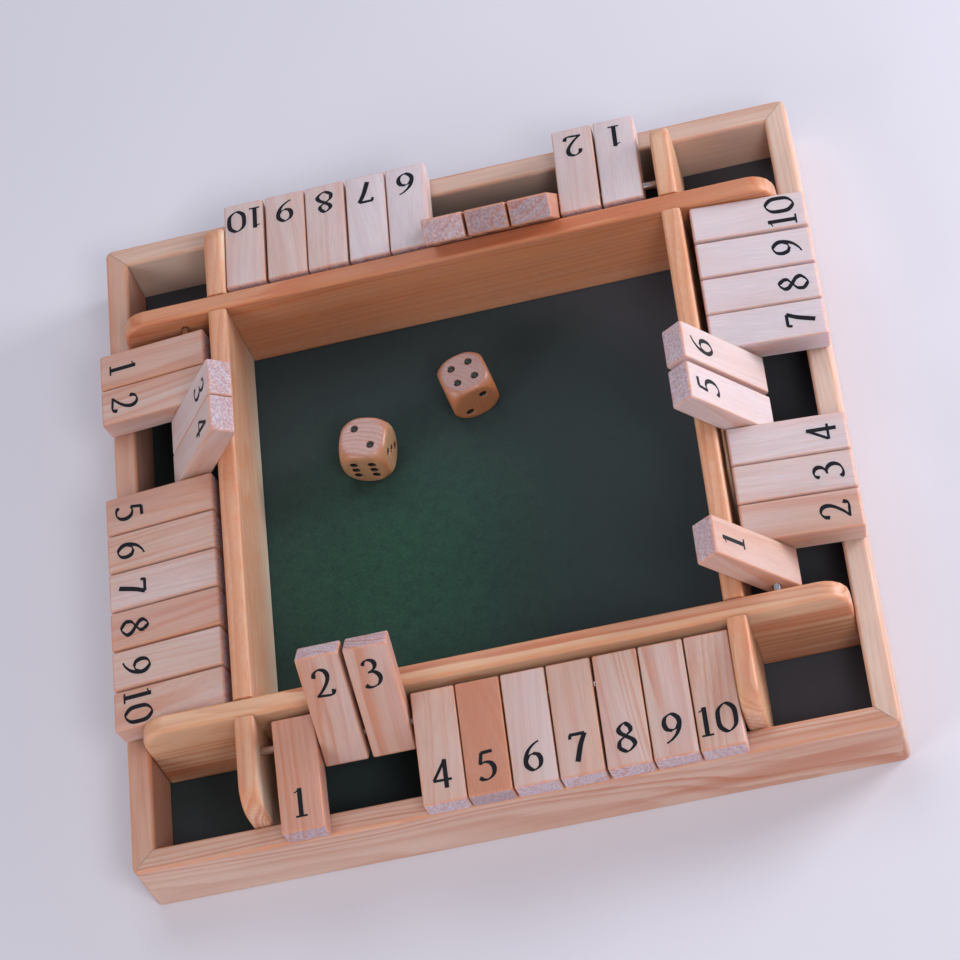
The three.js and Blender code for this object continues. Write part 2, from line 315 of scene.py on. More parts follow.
edge_oil_and_glow_colour = linear(208, 138, 92)
wall_finish, _ = wood_finish(
    "sanded pine wall", linear(204, 168, 152), linear(176, 96, 56), linear(222, 204, 192), edge_oil_and_glow=edge_oil_and_glow_colour)
divider_finish, _ = wood_finish(
    "sanded pine divider", linear(214, 170, 138), linear(182, 90, 44), linear(226, 206, 186), edge_oil_and_glow=edge_oil_and_glow_colour,
    end=linear(216, 178, 158), speckle=0.5)
tile_finish, _ = wood_finish(
    "sanded pine tile", linear(200, 168, 157), linear(186, 108, 68), linear(214, 208, 221), edge_oil_and_glow=edge_oil_and_glow_colour)
print("wooden finishes:", wall_finish.name, divider_finish.name, tile_finish.name, sep=", ")

# %% [markdown]
# Meshes are put together from a few shapes. A right-angled corner is rounded by an arc, and a point just
# past each end of the arc, or on each side of a sharp corner, keeps the straight sides flat when the surface
# is shaded smooth. A stack of rings is joined into a skin, and its two ends are closed by flat faces.

# %% Shape helpers
support, least_radius = 0.12 * mm, 0.05 * mm


def round_corners(corners, radii, steps=5):
    """A closed outline. With u and v the directions to a corner's neighbours, its arc is
    corner + r (1 - sin a) u + r (1 - cos a) v, for a from 0 to a quarter turn."""
    corners = np.asarray(corners, float)
    a = np.linspace(0, np.pi / 2, steps + 1)[:, None]
    pieces = []
    for i, radius in enumerate(radii):
        here = corners[i]
        u = corners[i - 1] - here
        v = corners[(i + 1) % len(corners)] - here
        u, v = u / np.linalg.norm(u), v / np.linalg.norm(v)
        if radius == 0:
            pieces.append(np.vstack([here + support * u, here, here + support * v]))
            continue
        arc = here + radius * ((1 - np.sin(a)) * u + (1 - np.cos(a)) * v)
        pieces.append(np.vstack([here + (radius + support) * u, arc, here + (radius + support) * v]))
    return np.vstack(pieces)


def skin(rings, joined=False):
    """Points and faces over a stack of closed rings: point (i, j) is point j of ring i. The ends are
    capped, or joined to each other."""
    count, size = rings.shape[:2]
    index = np.arange(count * size).reshape(count, size)
    lower, upper = (index, np.roll(index, -1, 0)) if joined else (index[:-1], index[1:])
    quads = np.stack([lower, np.roll(lower, -1, 1), np.roll(upper, -1, 1), upper], -1)
    faces = quads.reshape(-1, 4).tolist()
    if not joined:
        faces += [index[0][::-1].tolist(), index[-1].tolist()]
    return rings.reshape(-1, 3), faces


def grid(shape):
    """The numbers of a grid's points, and its faces."""
    index = np.arange(math.prod(shape)).reshape(shape)
    quads = np.stack([index[:-1, :-1], index[1:, :-1], index[1:, 1:], index[:-1, 1:]], -1)
    return index, quads.reshape(-1, 4)


def shade(mesh, sharp):
    """Shades a mesh smooth, with sharp edges where its faces meet at more than an angle in degrees."""
    mesh.shade_smooth()
    mesh.set_sharp_from_angle(angle=math.radians(sharp))


def turn_outward(mesh, weld=0.0):
    """Turns the faces outwards, after points nearer to each other than weld are joined."""
    work = bmesh.new()
    work.from_mesh(mesh)
    if weld:
        bmesh.ops.remove_doubles(work, verts=work.verts, dist=weld)
    bmesh.ops.recalc_face_normals(work, faces=work.faces)
    work.to_mesh(mesh)
    work.free()


def add_piece(name, data):
    """An object that holds a mesh or a lamp."""
    piece = bpy.data.objects.new(name, data)
    scene.collection.objects.link(piece)
    return piece


def make(name, points, faces, sharp=50):
    """A closed piece from its points and faces."""
    mesh = bpy.data.meshes.new(name)
    mesh.from_pydata(np.asarray(points).tolist(), [], faces)
    turn_outward(mesh)
    shade(mesh, sharp)
    return add_piece(name, mesh)


def vertices(piece, what="co"):
    """Each vertex's place, or its normal, as rows."""
    values = np.empty(len(piece.data.vertices) * 3)
    piece.data.vertices.foreach_get(what, values)
    return values.reshape(-1, 3)


def used_up(piece):
    """The points and faces of a piece that is only a pattern for others, and goes away itself."""
    points, faces = vertices(piece), [list(face.vertices) for face in piece.data.polygons]
    bpy.data.objects.remove(piece)
    return points, faces


def combined(name, first, others, operation, sharp=50):
    """One object cut by, or joined to, others; the others are used up."""
    for other in others:
        cut = first.modifiers.new("cut", "BOOLEAN")
        cut.operation, cut.solver, cut.object = operation, "MANIFOLD", other
    mesh = bpy.data.meshes.new_from_object(first.evaluated_get(bpy.context.evaluated_depsgraph_get()))
    for used in [first, *others]:
        bpy.data.objects.remove(used)
    mesh.name = name
    shade(mesh, sharp)
    return add_piece(name, mesh)

# %% [markdown]
# A board is an outline with eased edges. Its rings lie across its thickness: over each edge the outline
# draws in by e (1 - cos a) while the depth reaches e (1 - sin a) short of the face. Dividers, tiles and the
# base board are all boards of this kind, in different sizes.

# %% Boards with eased edges
def eased_board(low, high, half_depth, radii, edge, steps=4):
    """Rings of a board in x and z from low to high, from -half_depth to half_depth in y."""
    a = np.linspace(0, np.pi / 2, steps + 1)
    inset = np.append(edge * (1 - np.cos(a)), edge + support)
    depth = np.append(half_depth - edge * (1 - np.sin(a)), half_depth)
    inset, depth = np.append(inset[::-1], inset), np.append(-depth[::-1], depth)
    rings = []
    for i, y in zip(inset, depth):
        (x0, z0), (x1, z1) = np.add(low, i), np.subtract(high, i)
        outline = round_corners([(x0, z0), (x1, z0), (x1, z1), (x0, z1)],
                                [max(radius - i, least_radius) for radius in radii])
        rings.append(np.stack([outline[:, 0], np.full(len(outline), y), outline[:, 1]], 1))
    return np.array(rings)


def turned(points, index):
    """Points of the front side's piece, turned by quarters about the tray's middle."""
    c, s = round(math.cos(index * math.pi / 2)), round(math.sin(index * math.pi / 2))
    x, y, z = np.moveaxis(np.asarray(points), -1, 0)
    return np.stack([c * x - s * y, s * x + c * y, z], -1)


def unturned_box(node, index):
    """A node's box as it would be on the front side, as low and high corners."""
    corners = turned(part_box(node), -index)
    return corners.min(0), corners.max(0)

# %% [markdown]
# Each piece comes from its own place in the log. The grain runs along the piece, tilted by a degree or two,
# or by more in the short tiles, which are sawn from offcuts. The pith lies some way off to one side: a near
# pith gives broad arches, and a far one straight stripes. The faces across the grain show end grain, which
# the surface's normals tell. A piece can also be painted paler on one side, as painted light on a face that
# a lamp lights strongly.

# %% Places in the log
grain_seed = 11
log_rng = np.random.default_rng(grain_seed)


def cut_from_log(piece, grain, figure, tone, ring_width, pith, edge=0.0, painted_light_side=(0, 0, 0), tilt=0.022):
    """Writes where each vertex was in the log (mm), how the piece was cut, and its end grain and edges.
    The place is M (p - middle) + offset, where M's rows are two directions across the grain and the grain.
    The tone drops towards pale by max(0, normal . lit side), which paints light on that side."""
    points, normals = vertices(piece), vertices(piece, "normal")
    middle = (points.min(0) + points.max(0)) / 2
    along = grain + log_rng.normal(0, tilt, 3)
    along /= np.linalg.norm(along)
    roll = log_rng.uniform(0, 2 * np.pi)
    first = np.cross(along, (0.3, 0.5, 0.81))
    first /= np.linalg.norm(first)
    across = math.cos(roll) * first + math.sin(roll) * np.cross(along, first)
    axes = np.array([across, np.cross(along, across), along])
    offset = np.array([log_rng.uniform(*pith), log_rng.uniform(-4, 4), log_rng.uniform(-900, 900)])
    end = np.clip((np.abs(normals @ grain) - 0.45) / 0.4, 0, 1)
    cut = np.tile((ring_width, figure, tone), (len(points), 1))
    # painted light: the side that a lamp lights is given a paler tone
    cut[:, 2] -= np.maximum(normals @ painted_light_side, 0)
    face = np.stack([end, np.broadcast_to(edge, end.shape), np.zeros_like(end)], 1)
    place = (points - middle) @ axes.T / mm + offset
    for name, values in {"log_place": place, "cut": cut, "face": face}.items():
        kept = piece.data.attributes.new(name, "FLOAT_VECTOR", "POINT")
        kept.data.foreach_set("vector", values.ravel())


def edge_mask(piece, axes=np.eye(3), start=0.99, width=0.1):
    """1 where the surface turns over an edge, which is where its normal lies along none of the axes."""
    largest = np.abs(vertices(piece, "normal") @ np.transpose(axes)).max(1)
    return np.clip((start - largest) / width, 0, 1)


def finish_piece(piece, finish, slot, body, *nodes):
    """Gives a piece its material and body, and hides the nodes that it stands for; its slot is not used."""
    piece.data.materials.clear()
    piece.data.materials.append(finish)
    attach(piece, body)
    if nodes:
        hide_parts(*nodes)


def finish_board(board, finish, slot, node, index, cut, ring_width, pith):
    """Dresses a board of the tray: cut is its figure, its tone and how much paler its inner side is painted,
    as painted light.
    """
    figure, tone, paler = cut
    along, inward = turned([(1.0, 0.0, 0.0), (0.0, paler, 0.0)], index)
    cut_from_log(board, along, figure, tone, ring_width, pith, edge_mask(board), inward)
    finish_piece(board, finish, slot, "tray", node)
    print(board.name, len(board.data.polygons), "faces")

# %% [markdown]
# Four boards make the low outer wall. Each has one section all along: two softened top edges, and a rebate
# below for the base board. The section is carried from mitre to mitre, so its stations lean over to 45
# degrees at the ends. The tray's upright corners are round: near a corner a point keeps its distance from
# the arc's centre as the square measures it, max(|x|, |y|), but lies on a circle of that radius.

# %% Outer wall
wall_thickness = 9 * mm
rebate_depth, base_thickness = 4 * mm, 4 * mm
wall_top_round, wall_foot_round, wall_corner_radius = 1.5 * mm, 0.5 * mm, 3 * mm
mitre_gap = 0.1 * mm
corner_share = 1.3 * wall_corner_radius / half_side  # of the wall's half length, with stations close together


def wall_rings(height):
    """Rings of the front wall: the section at share s of the length, for s from -1 to 1, round the corner."""
    section = round_corners(
        [(0, 0), (0, height), (wall_thickness, height), (wall_thickness, base_thickness),
         (wall_thickness - rebate_depth, base_thickness), (wall_thickness - rebate_depth, 0)],
        [wall_foot_round, wall_top_round, wall_top_round, 0, 0, 0])
    inward, up = section[:, 0], section[:, 1]
    reach = 1 - np.linspace(0, 1, 7) ** 2 * corner_share
    share = np.concatenate([-reach, np.linspace(-0.9, 0.9, 13), reach[::-1]])[:, None]
    x = share * (half_side - mitre_gap - inward)
    y = np.broadcast_to(inward, x.shape)
    over = np.abs(x) - (half_side - wall_corner_radius)
    under = wall_corner_radius - y
    corner = (over > 0) & (under > 0)
    length = np.where(corner, np.hypot(over, under), 1)
    pull = np.where(corner, np.maximum(over, under) / length, 1)
    x = np.where(corner, np.sign(x) * (half_side - wall_corner_radius + over * pull), x)
    y = np.where(corner, wall_corner_radius - under * pull, y)
    return np.stack([x, y - half_side, np.broadcast_to(up, x.shape)], -1)


# figure, tone and how much paler the inner side is painted, as painted light where a lamp lights it
wall_cuts = {
    "front": (0.75, 0.05, 0), "right": (0.6, -0.35, 0), "back": (0.5, -0.1, 0.6), "left": (0.45, 0.3, 0),
}
for index, side in enumerate(sides):
    _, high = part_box(f"{side}_wall")
    wall = make(f"{side}_wall_board", *skin(turned(wall_rings(high.z), index)))
    finish_board(wall, wall_finish, "pine_wall", f"{side}_wall", index, wall_cuts[side], 2.2, (40, 80))

# %% [markdown]
# The dividers are taller and thinner, with large round corners. Where two cross, each is sawn half through:
# the front and back ones from below, so that their tops run on, and the side ones from above. The notches
# are cut with a Boolean modifier, and so are the blind sockets that hold the rods' ends, because a saw and
# a drill are what made the real ones. A thin gap is left all round.

# %% Dividers
divider_corner, divider_edge = 10 * mm, 1.5 * mm
glue_gap, rod_socket_clearance, rod_socket_depth = 0.2 * mm, 0.1 * mm, 4.5 * mm
overrun, round_sides = 2 * mm, 32
rod_low, rod_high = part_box("front_rod")
rod_radius = (rod_high.z - rod_low.z) / 2
rod_height, rod_from_middle = (rod_high.z + rod_low.z) / 2, -(rod_high.y + rod_low.y) / 2


def block(low, high):
    """A plain cutter between two corners."""
    (x0, y0, z0), (x1, y1, z1) = low, high
    outline = [(x0, z0), (x1, z0), (x1, z1), (x0, z1)]
    return make("cutter", *skin(np.array([[(x, y, z) for x, z in outline] for y in (y0, y1)])))


def rod_rings(low_x, high_x, y, z, radius, chamfer=0.0):
    """Rings of a round bar along x with chamfered ends: r cos a and r sin a round its middle line."""
    a = np.linspace(0, 2 * np.pi, round_sides, endpoint=False)
    x = np.array([low_x, low_x + max(chamfer, support), high_x - max(chamfer, support), high_x])
    r = np.array([radius - chamfer, radius, radius, radius - chamfer])
    ring = np.stack([np.zeros_like(a), np.cos(a), np.sin(a)], 1)
    return ring[None] * r[:, None, None] + np.stack([x, np.full(4, y), np.full(4, z)], 1)[:, None]


# figure, tone and how much paler the inner side is painted, as painted light where a lamp lights it
divider_cuts = {
    "front": (0.9, 0.0, 0), "right": (0.6, 0.0, 0), "back": (0.7, 0.5, 0), "left": (0.7, 0.35, 1.4),
}
for index, side in enumerate(sides):
    low, high = unturned_box(f"{side}_divider", index)
    middle_y, half_depth = (low[1] + high[1]) / 2, (high[1] - low[1]) / 2
    rings = eased_board(low[::2], high[::2], half_depth,
                        [divider_edge + support] * 2 + [divider_corner] * 2, divider_edge)
    board = make("board", *skin(rings + (0, middle_y, 0)))
    halving = (low[2] + high[2]) / 2
    below, above = (low[2] - overrun, halving), (halving, high[2] + overrun)
    notch_low, notch_high = below if side in ("front", "back") else above
    cross_inner, cross_outer = -high[1] - glue_gap, -low[1] + glue_gap
    tools = [block((s, low[1] - overrun, notch_low), (e, high[1] + overrun, notch_high))
             for s, e in ((cross_inner, cross_outer), (-cross_outer, -cross_inner))]
    bore = rod_radius + rod_socket_clearance
    for x in (-rod_from_middle, rod_from_middle):
        socket = rod_rings(high[1] - rod_socket_depth, high[1] + overrun, 0, 0, bore)
        tools.append(make("socket", *skin(socket[..., [1, 0, 2]] + (x, 0, rod_height))))
    board = combined(f"{side}_divider_board", board, tools, "DIFFERENCE")
    board.data.vertices.foreach_set("co", turned(vertices(board), index).ravel())
    board.data.update()
    finish_board(board, divider_finish, "pine_divider", f"{side}_divider", index, divider_cuts[side],
                 2.6, (14, 34))

# %% [markdown]
# The rods are bright drawn steel. Only glints of them show between the tiles, but they must be round: a
# faceted bar would flash. Drawing leaves very fine lines along the bar, from noise that is finest in z.

# %% Steel rods
def steel_finish():
    """Metal whose roughness and height follow fine lines along the bar."""
    material, shader = surface("bright drawn steel")
    lines = cloud(own_place(material), (900, 900, 5000))
    fill(shader, {
        "Base Color": mixed(lines, linear(196, 198, 204), linear(220, 221, 226)),
        "Roughness": maths("MULTIPLY_ADD", lines, 0.25, 0.12),
        "Normal": relief(lines, 0.2, 0.02 * mm),
        "Metallic": 1,
    })
    return material


rod_finish = steel_finish()
rod_chamfer = 0.3 * mm
for index, side in enumerate(sides):
    low, high = unturned_box(f"{side}_rod", index)
    _, y, z = (low + high) / 2
    rings = rod_rings(low[0], high[0], y, z, rod_radius, rod_chamfer)
    rod = make(f"{side}_rod_bar", *skin(turned(rings, index)))
    finish_piece(rod, rod_finish, "rod_steel", "tray", f"{side}_rod")
print("rods of", round(2 * rod_radius / mm, 2), "mm")

# %% [markdown]
# Forty tiles share one shape: a small board with all its edges eased, drilled across near one end. It is
# made once, and its points are carried to each tile's place. A tile's directions come from the frame: its
# joint's axis runs along the rod, and the middle of its box lies straight out from the rod.

# %% Tiles
tile_length, tile_thickness, tile_pivot_offset = 44 * mm, 10 * mm, 9 * mm
tile_corner_round, tile_edge_round = 1.1 * mm, 0.7 * mm
rod_running_clearance = 0.25 * mm
tile_reach = tile_length - tile_pivot_offset
joints = {joint["child"]: joint for joint in frame["joints"]}
tile_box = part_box("front_tile_1")
tile_width = tile_box[1].x - tile_box[0].x

# x: along the tile from the rod, y: along the rod, z: through the tile
tile_rings = eased_board((-tile_pivot_offset, -tile_thickness / 2), (tile_reach, tile_thickness / 2),
                         tile_width / 2, [tile_corner_round] * 4, tile_edge_round)
hole_rings = rod_rings(-tile_width, tile_width, 0, 0, rod_radius + rod_running_clearance)[..., [1, 0, 2]]
blank = make("blank", *skin(tile_rings))
drill = make("drill", *skin(hole_rings))
tile_points, tile_faces = used_up(combined("drilled", blank, [drill], "DIFFERENCE"))
print("tile:", len(tile_points), "points,", len(tile_faces), "faces")


def tile_axes(name):
    """The rod's place beside the tile's middle, and the tile's directions: out to its free end, along the
    rod to the player's right, and through it to the face that shows when the tile is open."""
    joint = joints[name]
    right = -np.array(joint["axis"], float)
    low, high = np.array(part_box(name))
    middle = (low + high) / 2
    pivot = np.array(joint["pos_m"], float)
    pivot += right * np.dot(middle - pivot, right)
    out = middle - pivot
    out /= np.linalg.norm(out)
    return pivot, np.array([out, right, np.cross(out, right)])


# how each tile was cut: figure (the rings' contrast) and tone (1 orange-brown, -1 pale), from 1 to 10
tile_cuts = {
    "front": [(0.6, 0.5), (0.5, 0.2), (0.7, 0.25), (0.3, 0.08), (0.3, 0.7), (0.25, -0.15), (0.5, 0.08),
              (0.6, 0.0), (0.75, -0.1), (0.5, 0.0)],
    "right": [(0.3, 0.15), (0.4, 0.0), (0.4, -0.3), (0.5, -0.45), (0.2, -0.4), (0.2, -0.3), (0.35, -0.6),
              (0.35, -0.6), (0.4, -0.6), (0.3, -0.6)],
    "back": [(0.3, -0.6), (0.4, -0.3), (0.5, 0.7), (0.6, 0.8), (0.5, 0.4), (0.3, -0.65), (0.5, -0.65),
             (0.5, -0.25), (0.4, -0.25), (0.3, -0.3)],
    "left": [(0.4, 0.2), (0.5, -0.05), (0.4, -0.3), (0.4, -0.25), (0.35, 0.2), (0.45, 0.0), (0.5, -0.1),
             (0.7, 0.3), (0.3, -0.05), (0.4, 0.1)],
}
for side in sides:
    for number, (figure, tone) in enumerate(tile_cuts[side], 1):
        name = f"{side}_tile_{number}"
        pivot, axes = tile_axes(name)
        tile = make(f"{name}_block", tile_points @ axes + pivot, tile_faces)
        cut_from_log(tile, axes[0], figure, tone, log_rng.uniform(2.4, 4.4), (6, 40), edge_mask(tile, axes),
                     tilt=0.06)
        finish_piece(tile, tile_finish, "tile_pine", name, name)
print("tiles:", sum(len(cuts) for cuts in tile_cuts.values()))

# %% [markdown]
# The numbers are drawn with a broad pen. A pen whose nib is a slanted ellipse makes strokes that swell and
# thin by themselves as they turn, which gives old-fashioned figures their look. A stroke is a smooth
# curve through a few points. At each place on it the ink reaches h = sqrt((a n.u)^2 + (b n.v)^2) to each
# side, where n is the curve's normal and u and v are the nib's long and short directions.

# %% Pen strokes for the ten figures
nib_long, nib_short, nib_slant = 0.080, 0.028, math.radians(18)
# a figure is 100 high and stands on y = 0; each stroke is its points and the pen's size there
figures = {
    "0": [([(33, 97), (10, 80), (5.5, 50), (10, 20), (33, 3), (56, 20), (60.5, 50), (56, 80),
            (33, 97)], 1.0)],
    "1": [([(24, 2), (24, 97)], 1.0), ([(26, 95.5), (17, 88), (6, 83)], 0.75), ([(6, 2), (44, 2)], 0.9)],
    "2": [([(7, 70), (12, 87), (28, 96.5), (46, 90), (52, 73), (46, 52), (28, 27), (5, 5)], 1.0),
          ([(3, 6), (22, 5.5), (46, 4), (56, 8), (62, 22)], 1.1)],
    "3": [([(9, 80), (16, 92), (29, 96.5), (44, 90), (48, 76), (40, 62), (21, 53)], 1.0),
          ([(21, 54), (40, 53), (53, 41), (55, 25), (45, 9), (27, 2), (12, 4), (4, 12)], 1.0)],
    "4": [([(43, 0), (43, 97)], 0.95), ([(45, 96.5), (4, 29)], 0.9), ([(2, 28), (62, 28)], 1.2)],
    "5": [([(17, 92.5), (53, 94.5)], 1.7), ([(18, 94), (11, 54)], 0.8),
          ([(11, 54), (26, 60), (44, 55), (54, 38), (51, 17), (36, 3), (18, 2), (5, 10)], 1.0)],
    "6": [([(56, 96.5), (38, 87), (19, 68), (9, 42), (11, 18), (30, 2), (50, 11), (56.5, 31), (50, 50),
            (34, 57.5)], 1.0), ([(36, 57.5), (20, 51), (10, 36)], 0.9)],
    "7": [([(6, 78), (8, 93)], 0.7), ([(6, 92.5), (55, 92.5)], 1.5), ([(55, 93), (38, 55), (22, 0)], 1.25)],
    "8": [([(50, 83), (33, 97), (15, 84), (15, 69), (32, 54), (53, 38), (57, 20), (33, 2), (7, 17)], 1.0),
          ([(50, 85), (49, 68), (32, 54), (12, 38), (7.5, 15)], 0.95)],
}
figures = {figure: [(np.array(points) / 100, size) for points, size in strokes]
           for figure, strokes in figures.items()}
figures["9"] = [((0.64, 0.985) - points, size) for points, size in figures["6"]]
ink_rise, ink_depth = 0.04 * mm, 0.12 * mm
figure_height = 11.25 * mm


def smooth_path(points, steps=9):
    """A curve through every point, in cubic spans: at a point its slope is half the step between the two
    neighbours. It runs straight on at its ends."""
    closed = np.allclose(points[0], points[-1]) and len(points) > 3
    ends = (points[-2], points[1]) if closed else (2 * points[0] - points[1], 2 * points[-1] - points[-2])
    p = np.vstack([ends[0], points, ends[1]])
    t = np.linspace(0, 1, steps, endpoint=False)[:, None]
    spans = [0.5 * (2 * b + (c - a) * t + (2 * a - 5 * b + 4 * c - d) * t**2 + (3 * b - a - 3 * c + d) * t**3)
             for a, b, c, d in zip(p, p[1:], p[2:], p[3:])]
    path = np.vstack(spans) if closed else np.vstack([*spans, p[-2]])
    return path, closed


def pen_stroke(points, size):
    """A thin solid along the path, as wide as the nib makes it, in shares of the figure's height."""
    path, closed = smooth_path(points)
    along = np.roll(path, -1, 0) - np.roll(path, 1, 0) if closed else np.gradient(path, axis=0)
    along /= np.linalg.norm(along, axis=1)[:, None]
    normal = np.stack([-along[:, 1], along[:, 0]], 1)
    u = np.array([math.cos(nib_slant), math.sin(nib_slant)])
    v = np.array([-u[1], u[0]])
    reach = size * np.hypot(nib_long * normal @ u, nib_short * normal @ v)[:, None]
    left, right = path + normal * reach, path - normal * reach
    top, foot = ink_rise / figure_height, -ink_depth / figure_height
    corners = [(left, top), (right, top), (right, foot), (left, foot)]
    rings = np.stack([np.column_stack([edge, np.full(len(path), z)]) for edge, z in corners], 1)
    return make("stroke", *skin(rings, joined=closed), sharp=30)


ink_shapes = {}
for figure, strokes in figures.items():
    first, *others = [pen_stroke(points, size) for points, size in strokes]
    points, faces = used_up(combined("figure", first, others, "UNION", sharp=30))
    ink_shapes[figure] = points, faces
    print("figure", figure, len(points), "points, width", round(float(np.ptp(points[:, 0])), 2))

# %% [markdown]
# Each tile has its number on both broad faces, so that it can be read open and shut. On both it stands
# upright for its own player. The ink is a film a few hundredths of a millimetre proud, sunk a little into
# the wood below so that no light gets under it.

# %% Numbers on the tiles
# from a tile's free end to the foot of its number
number_foot = {"front": 5.3 * mm, "right": 4.2 * mm, "back": 4.2 * mm, "left": 4.3 * mm}
figure_gap_share = 0.12


def ink_finish():
    """Nearly black ink, a little uneven where the wood drank it."""
    material, shader = surface("black ink")
    patch = cloud(own_place(material), (900, 900, 900), detail=3)
    fill(shader, {
        "Base Color": mixed(patch, linear(10, 10, 18), linear(26, 25, 34)),
        "Roughness": maths("MULTIPLY_ADD", patch, 0.3, 0.45),
        "Specular IOR Level": 0.2,
    })
    return material


def number_shape(number):
    """The figures of a number side by side, with x centred, in metres."""
    points, faces, reach = [], [], 0.0
    for figure in str(number):
        shape, shape_faces = ink_shapes[figure]
        moved = shape - (shape[:, 0].min() - reach, 0, 0)
        base = sum(len(p) for p in points)
        points.append(moved)
        faces += [[i + base for i in face] for face in shape_faces]
        reach = moved[:, 0].max() + figure_gap_share
    points = np.vstack(points)
    points[:, 0] -= points[:, 0].max() / 2
    return points * figure_height, faces


number_finish = ink_finish()
for side in sides:
    for number in range(1, len(tile_cuts[side]) + 1):
        name = f"{side}_tile_{number}"
        pivot, (out, right, through) = tile_axes(name)
        points, faces = number_shape(number)
        x, y, z = points.T[:, :, None]
        foot = tile_reach - number_foot[side]
        proud = tile_thickness / 2 + z
        opened = pivot + x * right + (foot - y) * out + proud * through
        shut = pivot + x * right + (foot - figure_height + y) * out - proud * through
        both = faces + [[i + len(points) for i in face] for face in faces]
        ink = make(f"{name}_number", np.vstack([opened, shut]), both, sharp=30)
        finish_piece(ink, number_finish, "tile_pine", name)
print("numbers on", sum(len(cuts) for cuts in tile_cuts.values()), "tiles")

# %% [markdown]
# Felt lines the whole floor, and is pressed against the walls, so it reaches a little past the imported sheet.
# It is a thin sheet with a soft, slightly uneven top, so its mesh is a grid whose height dips by a tenth of a
# millimetre, closed below. Its fibres lie in all directions, which three stretched noises at different turns
# give, and its nap catches light at a low angle as sheen. Light and shade are painted into its colour: it is
# greenest to the left and front of the middle, where the lamps light it most, and greyer the farther it lies
# from there, and a paler grey is painted farther still, which lifts the shade in the far corner pockets.

# %% Felt
felt_dip, felt_stretch = 0.12 * mm, 0.27 * mm
felt_rim_drop, felt_rim_share = 0.25 * mm, 0.0008
felt_steps = 150
# each slow wave across the felt: its turn in radians for each metre of x and of y, and its start
felt_waves = [(211, 90, 0), (-130, 240, 1), (420, -310, 2), (60, 530, 3), (-610, 150, 4)]


def felt_mesh():
    """Top z = high - dip (1 + w) / 2, where w is the mean of the waves; the rim is rounded."""
    low, high = np.array(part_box("felt_lining"))
    low[:2], high[:2] = low[:2] - felt_stretch, high[:2] + felt_stretch
    share = np.linspace(0, 1, felt_steps)
    share = np.concatenate([[0, felt_rim_share], share[1:-1], [1 - felt_rim_share, 1]])
    x, y = np.meshgrid(*(low[i] + share * (high[i] - low[i]) for i in (0, 1)), indexing="ij")
    waves = [np.sin(a * x + b * y + c) for a, b, c in felt_waves]
    top = high[2] - felt_dip * (1 + np.mean(waves, 0)) / 2
    top[[0, -1]] -= felt_rim_drop
    top[1:-1, [0, -1]] -= felt_rim_drop
    count = x.size
    index, quads = grid(x.shape)
    border = np.concatenate([index[:-1, 0], index[-1, :-1], index[:0:-1, -1], index[0, :0:-1]])
    after = np.roll(border, -1)
    sides_down = np.stack([border, border + count, after + count, after], -1)
    points = np.vstack([np.stack([x, y, top], -1).reshape(-1, 3),
                        np.stack([x, y, np.full_like(x, low[2])], -1).reshape(-1, 3)])
    faces = np.vstack([quads, (quads + count)[:, ::-1], sides_down])
    return points, faces.tolist()


def felt_finish():
    """Dark green wool: clumps of colour, crossing fibres, a shallow bump, sheen, painted light and shade."""
    material, shader = surface("green felt")
    place = scaled(own_place(material), 1 / mm)
    fibres = None
    for degrees in (20, 75, 140):
        inputs = {"Vector": place, "Angle": math.radians(degrees)}
        turned_place = put("ShaderNodeVectorRotate", inputs, rotation_type="Z_AXIS").outputs[0]
        strand = cloud(turned_place, (0.5, 3.6, 1), detail=3, roughness=0.6)
        fibres = strand if fibres is None else maths("MAXIMUM", fibres, strand)
    clump = cloud(place, (0.22, 0.22, 0.22), detail=3)
    patch = cloud(place, (0.02, 0.02, 0.02))
    # painted light and shade: greenest near this spot, where the lamps light the felt most, greyer farther
    # out, and a paler grey farther still, which lifts the shade in the corner pockets
    painted_light_distance = vectors("DISTANCE", place, (-41.0, -24.0, 5.0), output=1)
    green = linear(38, 66, 57)
    # each layer: what lays it on, from and to which value, how much at most, and its colour
    for value, low, high, most, colour in (
            (clump, 0.3, 0.7, 1.0, (41, 76, 62)), (fibres, 0.5, 0.8, 1.0, (62, 98, 84)),
            (patch, 0.35, 0.7, 0.2, (38, 48, 50)), (painted_light_distance, 10.0, 95.0, 0.85, (54, 61, 66)),
            (painted_light_distance, 115.0, 145.0, 0.9, (72, 74, 82))):
        green = mixed(spread(value, low, high, 0.0, most), green, linear(*colour))
    fill(shader, {
        "Base Color": green, "Roughness": maths("MULTIPLY_ADD", fibres, -0.1, 1.0),
        "Normal": relief(maths("ADD", fibres, clump), 0.5, 0.25 * mm),
        "Sheen Weight": 0.25, "Sheen Roughness": 0.5, "Sheen Tint": linear(165, 180, 186),
        "Specular IOR Level": 0.1,
    })
    return material


felt = make("felt_sheet", *felt_mesh(), sharp=70)
finish_piece(felt, felt_finish(), "green_felt", "tray", "felt_lining")
print("felt:", len(felt.data.polygons), "faces")

# %% [markdown]
# The base is thin plywood, which shows when the tray is lifted. Its face veneer is pine grain again, and at
# its edge the plies change colour with height.

# %% Base board
plies = 3
base_corner, base_edge = 1 * mm, 0.3 * mm


def ply_finish():
    """The wooden finish, with glue lines where the height passes from one ply to the next."""
    material, shader = wood_finish(
        "raw plywood", linear(205, 172, 132), linear(170, 120, 80), linear(212, 188, 156), bump=0.5)
    ply = maths("FRACT", maths("DIVIDE", apart(own_place(material))[2], base_thickness / plies))
    glue = maths("MULTIPLY", spread(ply, 0.86, 0.95), 0.6)
    plain = shader.inputs["Base Color"].links[0].from_socket
    fill(shader, {"Base Color": mixed(glue, plain, linear(110, 74, 46))})
    return material


